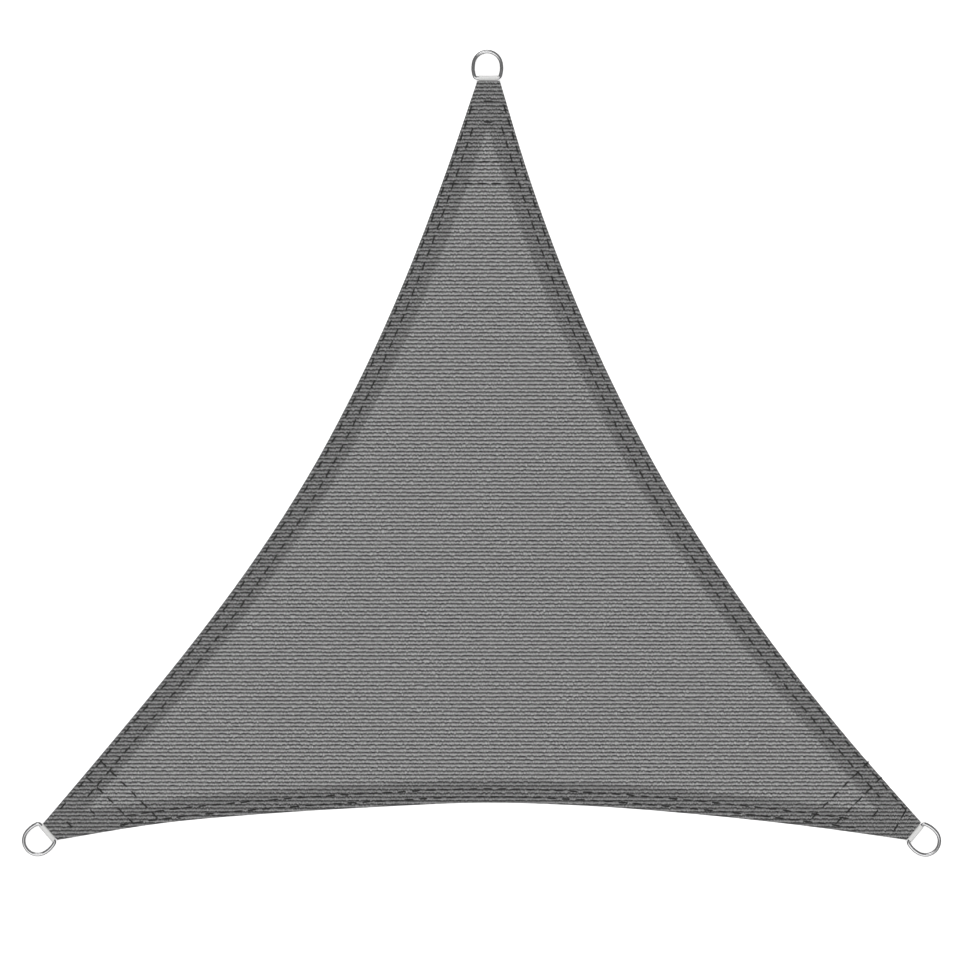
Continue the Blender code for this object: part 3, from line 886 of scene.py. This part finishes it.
def knit_group():
    """The knit at a place on the cloth in metres, with its ribs along X: how light it is, and how high.

    Each rib is a chain of small slanting loops. The dark line beside it wanders as a whole, and its light
    line runs straight. Ties draw the loops down and up by turns, and those of one rib stand half way between
    those of the next. The light line is partly the yarn's own tone and partly a painted highlight, and the
    dark line partly the knit's own gaps and partly painted shade."""
    ribs = ("Rib Pitch", "Highlight Shift", "Waver")
    loops = ("Loop Length", "Tie Pitch", "Tie Shift", "Tie Draw")
    tree, g, given, out = new_tree(
        "ShaderNodeTree",
        "ribbed_knit",
        {"Vector": ("Place",), "Float": (*ribs, *loops)},
        {"Float": ("Light", "Height")},
    )
    place = g.add("ShaderNodeSeparateXYZ", {0: given["Place"]}).outputs
    x = g.math("DIVIDE", place["X"], given["Loop Length"])
    straight = g.math("ADD", g.math("DIVIDE", place["Y"], given["Rib Pitch"]), given["Highlight Shift"])
    own_way = g.math("MULTIPLY", g.math("FLOOR", straight), RIB_APART)
    wiggle = g.noise(g.vector(g.math("MULTIPLY", x, LINE_PACE), own_way, LINE_SEED), detail=1.0)
    stray = g.math("MULTIPLY", g.math("SUBTRACT", wiggle, 0.5), given["Waver"])
    off_light = g.between(g.math("PINGPONG", straight, 0.5), 0.0, LINE_STEADY)
    y = g.math("MULTIPLY_ADD", stray, off_light, straight)
    rib = g.math("FLOOR", y)
    nearest = g.math("ROUND", y)
    way = g.math("SUBTRACT", y, rib)

    def drawn(line):
        """How strongly the ties of this line of loops draw it, from 0 to 1, by the place along it."""
        even = g.math("SUBTRACT", g.math("DIVIDE", place["X"], given["Tie Pitch"]), given["Tie Shift"])
        even = g.math("MULTIPLY_ADD", g.math("ADD", line, 1.0), 0.5, even)
        own = g.chance(g.vector(g.math("ROUND", even), line, TIE_SEED))
        off = g.math("MULTIPLY_ADD", g.math("SUBTRACT", own, 0.5), TIE_UNEVEN, even)
        near = g.between(g.math("PINGPONG", off, 0.5), *TIE_REACH, 1.0, 0.0)
        return g.math("MULTIPLY", near, g.between(own, 0.0, 1.0, *TIE_PULL, ease="LINEAR"))

    down = g.math("SUBTRACT", drawn(rib), drawn(g.math("ADD", rib, 1.0)))
    falls, left_over = TIE_END
    flank = g.math("MULTIPLY", g.between(way, *TIE_FROM), g.between(way, falls, 1.0, 1.0, left_over))
    way = g.math("MULTIPLY_ADD", g.math("MULTIPLY", down, flank), given["Tie Draw"], way)
    # the rib's profile of a painted highlight line and painted shade in the valley, which also shapes its
    # height
    profile = g.curve(way, RIB_TONES_AND_SHADE)

    lean = g.math("MULTIPLY_ADD", g.math("SUBTRACT", y, nearest), LOOP_LEAN, x)
    loop = g.math("FLOOR", lean)
    own = g.chance(g.vector(loop, nearest, LOOP_SEED))
    beside = g.chance(g.vector(g.math("SUBTRACT", loop, 1.0), nearest, LOOP_SEED))
    plump = g.math("SINE", g.math("MULTIPLY", g.math("SUBTRACT", lean, loop), math.pi))
    contrast = g.math("MULTIPLY_ADD", beside, LOOP_BESIDE, own)
    # each loop's own random tone, with painted shade at its ends and painted light in its middle
    strong = g.math(
        "ADD",
        g.between(contrast, LOOP_BESIDE, 1.0, *LOOP_TONES, ease="LINEAR"),
        g.between(plump, 0.0, 1.0, *LOOP_SHADING),
    )

    slant = g.math("FLOOR", g.math("MULTIPLY_ADD", way, -LOOP_LEAN, x))
    chosen = g.chance(g.vector(slant, rib, STRAY_SEED))
    floor = g.between(chosen, STRAY_SHARE, 1.0, 0.0, STRAY_LIGHT, ease="LINEAR")
    light = g.math("MAXIMUM", g.math("MULTIPLY", profile, strong), floor)
    g.feed(out.inputs["Light"], light)
    round_loop = g.math("MULTIPLY_ADD", plump, LOOP_RELIEF, 1.0 - LOOP_RELIEF)
    g.feed(out.inputs["Height"], g.math("MULTIPLY", profile, round_loop))
    return tree


def surface(g, shader, colour, rough, relief, depth, strength):
    """Gives a finish its colour, its roughness and the relief of its surface, which is this deep."""
    bump = g.add("ShaderNodeBump", {"Height": relief, "Distance": depth, "Strength": strength})
    for name, value in (("Base Color", colour), ("Roughness", rough), ("Normal", bump.outputs[0])):
        g.feed(shader.inputs[name], value)


def knit_finish(yarn, knit):
    """Matt grey knit. The hems are darker, as less light comes through two layers."""
    made, g, shader = new_finish("knitted_cloth")
    place = g.add("ShaderNodeUVMap", uv_map="cloth").outputs[0]
    ribbed = place_group(
        g,
        knit,
        {
            "Place": place,
            "Rib Pitch": RIB_PITCH,
            "Highlight Shift": RIB_HIGHLIGHT_SHIFT,
            "Waver": 1.1,
            "Loop Length": 1.9 * MM,
            "Tie Pitch": 25.96 * MM,
            "Tie Shift": 0.252,
            "Tie Draw": 0.145,
        },
    )
    grain = place_group(g, yarn, {"Place": place, "Length": 3.0 * MM, "Width": 0.75 * MM})["Grain"]
    hem = g.add("ShaderNodeAttribute", attribute_name="two_layers").outputs["Fac"]
    # the knit's lightness, with its painted highlight and painted shade, turned into tones
    bare = g.math("MULTIPLY_ADD", ribbed["Light"], KNIT_LIGHT - KNIT_DARK, KNIT_DARK)
    grainy = g.math("MULTIPLY", bare, g.spread(grain, 0.35, 1.65, ease="LINEAR"))
    tone = g.math("MULTIPLY", grainy, g.blend(hem, 1.0, HEM_TONE))
    rough = g.spread(grain, 0.9, 0.7, ease="LINEAR")
    relief = g.math("MULTIPLY_ADD", grain, GRAIN_RELIEF, ribbed["Height"])
    surface(g, shader, g.grey(tone), rough, relief, depth=0.6 * MM, strength=0.6)
    shader.inputs["Specular IOR Level"].default_value = 0.3
    return made


def strap_finish(yarn):
    """Pale grey webbing: ribs across its width from the weft, parted into lines by the warp. Its tone is
    darker in the grooves between the yarns, as painted shade.
    """
    weft_pitch, warp_pitch = 1.7 * MM, 1.4 * MM
    weft_relief = 0.35
    made, g, shader = new_finish("woven_strap")
    place = g.add("ShaderNodeUVMap", uv_map="strap").outputs[0]
    across, along, _ = g.add("ShaderNodeSeparateXYZ", {0: place}).outputs
    weft = g.math("DIVIDE", along, weft_pitch)
    warp = g.math("DIVIDE", across, warp_pitch)
    half_step = g.math("MULTIPLY", g.math("PINGPONG", g.math("FLOOR", warp), 1.0), 0.5)
    wave_along = g.math("SINE", g.math("MULTIPLY", g.math("ADD", weft, half_step), 2 * math.pi))
    wave_across = g.math("ABSOLUTE", g.math("SINE", g.math("MULTIPLY", warp, math.pi)))
    weft_rib = g.math("MULTIPLY_ADD", wave_along, weft_relief, 1.0 - weft_relief)
    weave = g.math("MULTIPLY", weft_rib, wave_across)
    grain = place_group(g, yarn, {"Place": place, "Length": 1.0 * MM, "Width": 3.0 * MM})["Grain"]
    # lighter on the raised yarns and darker in the grooves between them: painted shade
    tone = g.math("ADD", g.between(weave, 0.0, 1.0, 0.6, 0.86), g.spread(grain, -0.05, 0.05))
    rough = g.between(weave, 0.0, 1.0, 0.85, 0.65)
    surface(g, shader, g.grey(tone, blue=0.99), rough, weave, depth=0.35 * MM, strength=0.7)
    return made


def thread_finish(yarn):
    """Dark twisted thread."""
    made, g, shader = new_finish("dark_thread")
    place = g.add("ShaderNodeTexCoord").outputs["Object"]
    grain = place_group(g, yarn, {"Place": place, "Length": 0.8 * MM, "Width": 0.8 * MM})["Grain"]
    tone = g.spread(grain, 0.004, 0.014)
    rough = g.spread(grain, 0.75, 0.55)
    surface(g, shader, g.grey(tone), rough, grain, depth=0.2 * MM, strength=0.5)
    return made


def steel_finish():
    """Polished wire, with fine handling marks."""
    made, g, shader = new_finish("polished_steel")
    place = g.add("ShaderNodeTexCoord").outputs["Object"]
    smear = g.noise(place, scale=180.0, detail=3.0, rough=0.6)
    marks = g.noise(place, scale=1400.0, detail=2.0)
    tone = g.spread(smear, 0.60, 0.70)
    marked = g.between(marks, 0.55, 0.8, 0.0, 0.12)
    rough = g.math("ADD", g.spread(smear, 0.10, 0.2), marked)
    surface(g, shader, g.grey(tone, blue=1.01), rough, marks, depth=0.03 * MM, strength=0.2)
    shader.inputs["Metallic"].default_value = 1.0
    return made


# ---------------------------------------------------------------- pieces


def make_cloth(sail, finish):
    """The sheet with its pockets cut, and then its ribs raised."""
    cloth = cut_pockets(object_of("sheet", sheet_mesh(sail)), sail)
    mark_cloth(cloth.data, sail)
    cloth.data.shade_smooth()
    cloth = run_tree(
        cloth,
        rib_tree(),
        {
            "Rib Pitch": RIB_PITCH,
            "Rib Height": RIB_HEIGHT,
            "Back Depth": BACK_DEPTH,
            "Sway": RIB_SWAY,
            "Unevenness": RIB_UNEVEN,
            "Seed": RIB_SEED,
            "Finish": finish,
        },
        "knitted_sail",
    )
    cloth.data.set_sharp_from_angle(angle=CLOTH_SHARP)
    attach(cloth, "root")
    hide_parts("sail_cloth")
    return cloth


def hem_row(sail, shift, edge_number, offsets, first, last):
    """Points along a row of stitches beside one hollow edge, drawn in by the shift at both ends."""
    edge = finer(sail.edges[edge_number], ROW_STEP)
    way = lengths_along(edge)
    offset = np.interp(way / way[-1], np.linspace(*HEM_ROW_SPAN, len(offsets)), offsets) * MM
    row = inner_line(edge, offset)
    start, end = first * MM + shift, way[-1] - last * MM - shift
    ends = [[np.interp(at, way, row[:, axis]) for axis in (0, 1)] for at in (start, end)]
    keep = (way > start) & (way < end)
    return np.concatenate([ends[:1], row[keep], ends[1:]])


def corner_row(sail, shift, name, inward, left, inward_last, left_last, count):
    """Points along a row of stitches across one corner, drawn in by the shift at both ends. A row of one
    stitch is a very short line."""
    corner = sail.corners[name]
    start, end = corner.at(inward * MM, left * MM), corner.at(inward_last * MM, left_last * MM)
    if count == 1:
        short = corner.along * 0.1 * MM
        return np.array([start - short, start + short])
    ahead = (end - start) / np.hypot(*(end - start))
    return np.linspace(start + ahead * shift, end - ahead * shift, 2 * count - 1)


def line_curve(name, lines, closed=False):
    """One curve object with straight pieces between the (x, y, z) of each line."""
    curve = bpy.data.curves.new(name, "CURVE")
    curve.dimensions = "3D"
    for places in lines:
        line = curve.splines.new("POLY")
        line.points.add(len(places) - 1)
        for point, place in zip(line.points, places):
            point.co = (*place, 1.0)
        line.use_cyclic_u = closed
    return object_of(name, curve)


def make_stitches(sail, finish):
    """The stitches on the front, and on the back those that the same thread makes between them."""
    tree = stitch_tree()
    above_back = THREAD * THREAD_FLAT / 2 - STITCH_PROUD
    sides = (
        # (name, shift of each row's ends, face it lies on, how far above it, length, sink, seed)
        ("front_stitches", 0.0, sail.crest, RIB_HEIGHT, STITCH_LONG, STITCH_SINK, 3),
        ("back_stitches", STITCH_PITCH / 2, sail.lifted, above_back, STITCH_BACK, -STITCH_SINK, 5),
    )
    made = []
    for name, shift, face, above, length, sink, seed in sides:
        rows = [hem_row(sail, shift, *row) for row in HEM_ROWS]
        rows += [corner_row(sail, shift, *row) for row in CORNER_ROWS]
        stitches = run_tree(
            line_curve("stitch_rows", [np.column_stack([row, face(row) + above]) for row in rows]),
            tree,
            {
                "Stitch Pitch": STITCH_PITCH,
                "Stitch Length": length,
                "Thread Width": THREAD,
                "Flatness": THREAD_FLAT,
                "Sink": sink,
                "Seed": seed,
                "Finish": finish,
            },
            name,
        )
        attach(stitches, "root")
        made.append(stitches)
    return made


def strap_path():
    """(out, height) along the strap's middle: in under the bar, round it, and back in on top."""
    first = LAYER + GAP + STRAP_THICK / 2
    second = first + STRAP_THICK + GAP
    legs = leg_stations(STRAP_LEG)
    turn = WIRE / 2 + GAP + STRAP_THICK / 2
    straight = 0.5 * MM
    half_gap = (second - first) / 2
    reach = math.hypot(BAR_OUT - straight, half_gap)
    lean = math.asin(turn / reach) - math.atan2(half_gap, BAR_OUT - straight)
    touch = math.pi / 2 + lean
    path = [(-s, lift_at(s) + first) for s in reversed(legs)]
    path.append((straight, BAR_HEIGHT - half_gap))
    steps = 32
    for i in range(steps + 1):
        angle = -touch + 2 * touch * i / steps
        path.append((BAR_OUT + turn * math.cos(angle), BAR_HEIGHT + turn * math.sin(angle)))
    path.append((straight, BAR_HEIGHT + half_gap))
    path += [(-s, lift_at(s) + second) for s in legs]
    return np.array(path)


def strap_section():
    """(across, up) round the strap's cross-section, with rounded edges."""
    half, high = STRAP_WIDE / 2, STRAP_THICK / 2
    round_off = STRAP_THICK * STRAP_EDGE
    steps = 6
    points = []
    for side in (1, -1):
        for i in range(steps + 1):
            angle = math.radians(180 / steps * i - 90 * side)
            across = side * (half - round_off) + round_off * math.cos(angle)
            points.append((across, high * math.sin(angle)))
        points += [(half * share * side, high * side) for share in (0.6, 0.2, -0.2, -0.6)]
    return points


def make_strap(name, corner, finish):
    """The strap's section taken along its path. Its UV map is the place on the strap in metres."""
    path = strap_path()
    keep = [0] + [i for i in range(1, len(path)) if np.hypot(*(path[i] - path[i - 1])) > SAME_PLACE]
    path = path[keep]
    way = lengths_along(path)
    ahead = np.gradient(path, axis=0)
    ahead /= np.hypot(ahead[:, 0], ahead[:, 1])[:, None]
    section = strap_section()
    sections = [
        [(across, -(out - rise * up), height + run * up) for across, up in section]
        for (out, height), (run, rise) in zip(path, ahead)
    ]
    mesh = tube_mesh(f"woven_strap_{name}", sections)
    place = mesh.uv_layers.new(name="strap")
    for loop, spot in zip(mesh.loops, place.uv):
        station, i = divmod(loop.vertex_index, len(section))
        spot.vector = (section[i][0] + STRAP_WIDE, way[station])
    mesh.transform(corner.matrix(corner.strap_off))
    mesh.materials.append(finish)
    mesh.shade_smooth()
    mesh.set_sharp_from_angle(angle=STRAP_SHARP)
    strap = object_of(mesh.name, mesh)
    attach(strap, "root")
    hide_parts(f"strap_{name}")
    return strap


def side_arc():
    """(x, y) of the middle of the shallow arc along the ring's right side, and the angles of its two ends.
    It runs on smoothly from the arc at the corner and into the round end."""
    rise = RING_RISE - RING_CORNER
    apart = math.hypot(RING_BAR, rise)
    to_corner, to_end = RING_SIDE - RING_CORNER, RING_SIDE - RING_ARC
    turn = math.acos((to_corner**2 + apart**2 - to_end**2) / (2 * to_corner * apart))
    way = math.atan2(rise, -RING_BAR) + turn
    x, y = RING_BAR + to_corner * math.cos(way), RING_CORNER + to_corner * math.sin(way)
    return x, y, math.atan2(RING_CORNER - y, RING_BAR - x), math.atan2(RING_RISE - y, -x)


def ring_points():
    """The D of the ring's wire, from (0, 0) at the middle of its bar, with the round end at +Y."""
    x, y, low, high = side_arc()
    arcs = (
        # centre x, centre y, radius, first angle, last angle, steps
        (RING_BAR, RING_CORNER, RING_CORNER, -math.pi / 2, low, 14),
        (x, y, RING_SIDE, low, high, 12),
        (0.0, RING_RISE, RING_ARC, high, math.pi - high, 60),
        (-x, y, RING_SIDE, math.pi - high, math.pi - low, 12),
        (-RING_BAR, RING_CORNER, RING_CORNER, math.pi - low, 1.5 * math.pi, 14),
    )
    points = []
    for x, y, radius, first, last, steps in arcs:
        for i in range(steps):
            angle = first + (last - first) * i / steps
            points.append((x + radius * math.cos(angle), y + radius * math.sin(angle)))
    return [*points, (-RING_BAR, 0.0)]


def make_ring(name, corner, finish):
    """The bar is as high as the strap holds it, and the round end is down on the ground."""
    wire = line_curve(f"ring_wire_{name}", [[(x, y, 0.0) for x, y in ring_points()]], closed=True)
    wire.data.bevel_depth = WIRE / 2
    wire.data.bevel_resolution = 8
    drop = BAR_HEIGHT - WIRE / 2
    tilt = math.asin(drop / (RING_RISE + RING_ARC))
    x, y = corner.at(-BAR_OUT, corner.ring_off)
    turn = math.atan2(corner.out[1], corner.out[0]) - math.pi / 2
    turned = Matrix.Rotation(turn, 4, "Z") @ Matrix.Rotation(-tilt, 4, "X")
    ring = finished(wire, f"steel_ring_{name}")
    ring.data.transform(Matrix.Translation((x, y, BAR_HEIGHT)) @ turned)
    ring.data.materials.append(finish)
    ring.data.shade_smooth()
    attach(ring, "root")
    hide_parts(f"ring_{name}")
    return ring


# ---------------------------------------------------------------- floor, light and camera


def make_floor():
    """A plain white floor. Only the polished wire sees it as a darker studio floor."""
    signs = ((-1, -1), (1, -1), (1, 1), (-1, 1))
    mesh = bpy.data.meshes.new("floor")
    mesh.from_pydata([(x * FLOOR_SIZE, y * FLOOR_SIZE, -FLOOR_DROP) for x, y in signs], [], [(0, 1, 2, 3)])
    made, g, shader = new_finish("floor_paint")
    shader.inputs["Roughness"].default_value = 1.0
    shader.inputs["Specular IOR Level"].default_value = 0.0
    rays = g.add("ShaderNodeLightPath").outputs
    tone = g.blend(rays["Is Glossy Ray"], FLOOR_TONE, FLOOR_MIRRORED)
    g.feed(shader.inputs["Base Color"], g.grey(tone))
    shader.inputs["Emission Color"].default_value = (1.0, 1.0, 1.0, 1.0)
    g.feed(shader.inputs["Emission Strength"], g.math("MULTIPLY", rays["Is Camera Ray"], FLOOR_GLOW))
    mesh.materials.append(made)
    floor = object_of("floor", mesh)


def make_sky():
    """Even soft light from all round. In the wire's reflections it is dark but for one bright patch."""
    world = bpy.data.worlds.new("studio")
    bpy.context.scene.world = world
    world.use_nodes = True
    g = Graph(world.node_tree)
    sky = world.node_tree.nodes["Background"]
    way = g.add("ShaderNodeTexCoord").outputs["Generated"]
    facing = g.add("ShaderNodeVectorMath", {0: way, 1: SKY_BRIGHT}, operation="DOT_PRODUCT").outputs["Value"]
    mirrored = g.between(facing, *SKY_PATCH, *SKY_MIRRORED)
    rays = g.add("ShaderNodeLightPath").outputs["Is Glossy Ray"]
    sky.inputs["Color"].default_value = (1.0, 1.0, 1.0, 1.0)
    g.feed(sky.inputs["Strength"], g.blend(rays, SKY_LIGHT, mirrored))


def make_lamp():
    """A broad lamp above and behind the top corner, which gives the ribs a lit and a shaded side."""
    lamp = bpy.data.lights.new("broad_lamp", "SUN")
    lamp.energy = LAMP_LIGHT
    lamp.angle = math.radians(LAMP_WIDE)
    made = object_of("broad_lamp", lamp)
    made.rotation_euler = [math.radians(angle) for angle in LAMP_TIPPED]


def make_camera():
    """Looks straight down, from as far as its lens needs."""
    lens = bpy.data.cameras.new("camera")
    lens.lens = LENS
    lens.sensor_width = SENSOR
    lens.clip_end = 50.0
    camera = object_of("camera", lens)
    camera.location = (*VIEW_MIDDLE, VIEW_WIDE * LENS / SENSOR)
    bpy.context.scene.camera = camera


def main():
    bpy.context.scene.view_settings.view_transform = "Standard"
    make_camera()
    make_floor()
    make_sky()
    make_lamp()
    yarn = yarn_group()
    sail = Sail()
    cloth = make_cloth(sail, knit_finish(yarn, knit_group()))
    stitches = make_stitches(sail, thread_finish(yarn))
    webbing = strap_finish(yarn)
    steel = steel_finish()
    for name, corner in sail.corners.items():
        make_ring(name, corner, steel)
        make_strap(name, corner, webbing)


main()
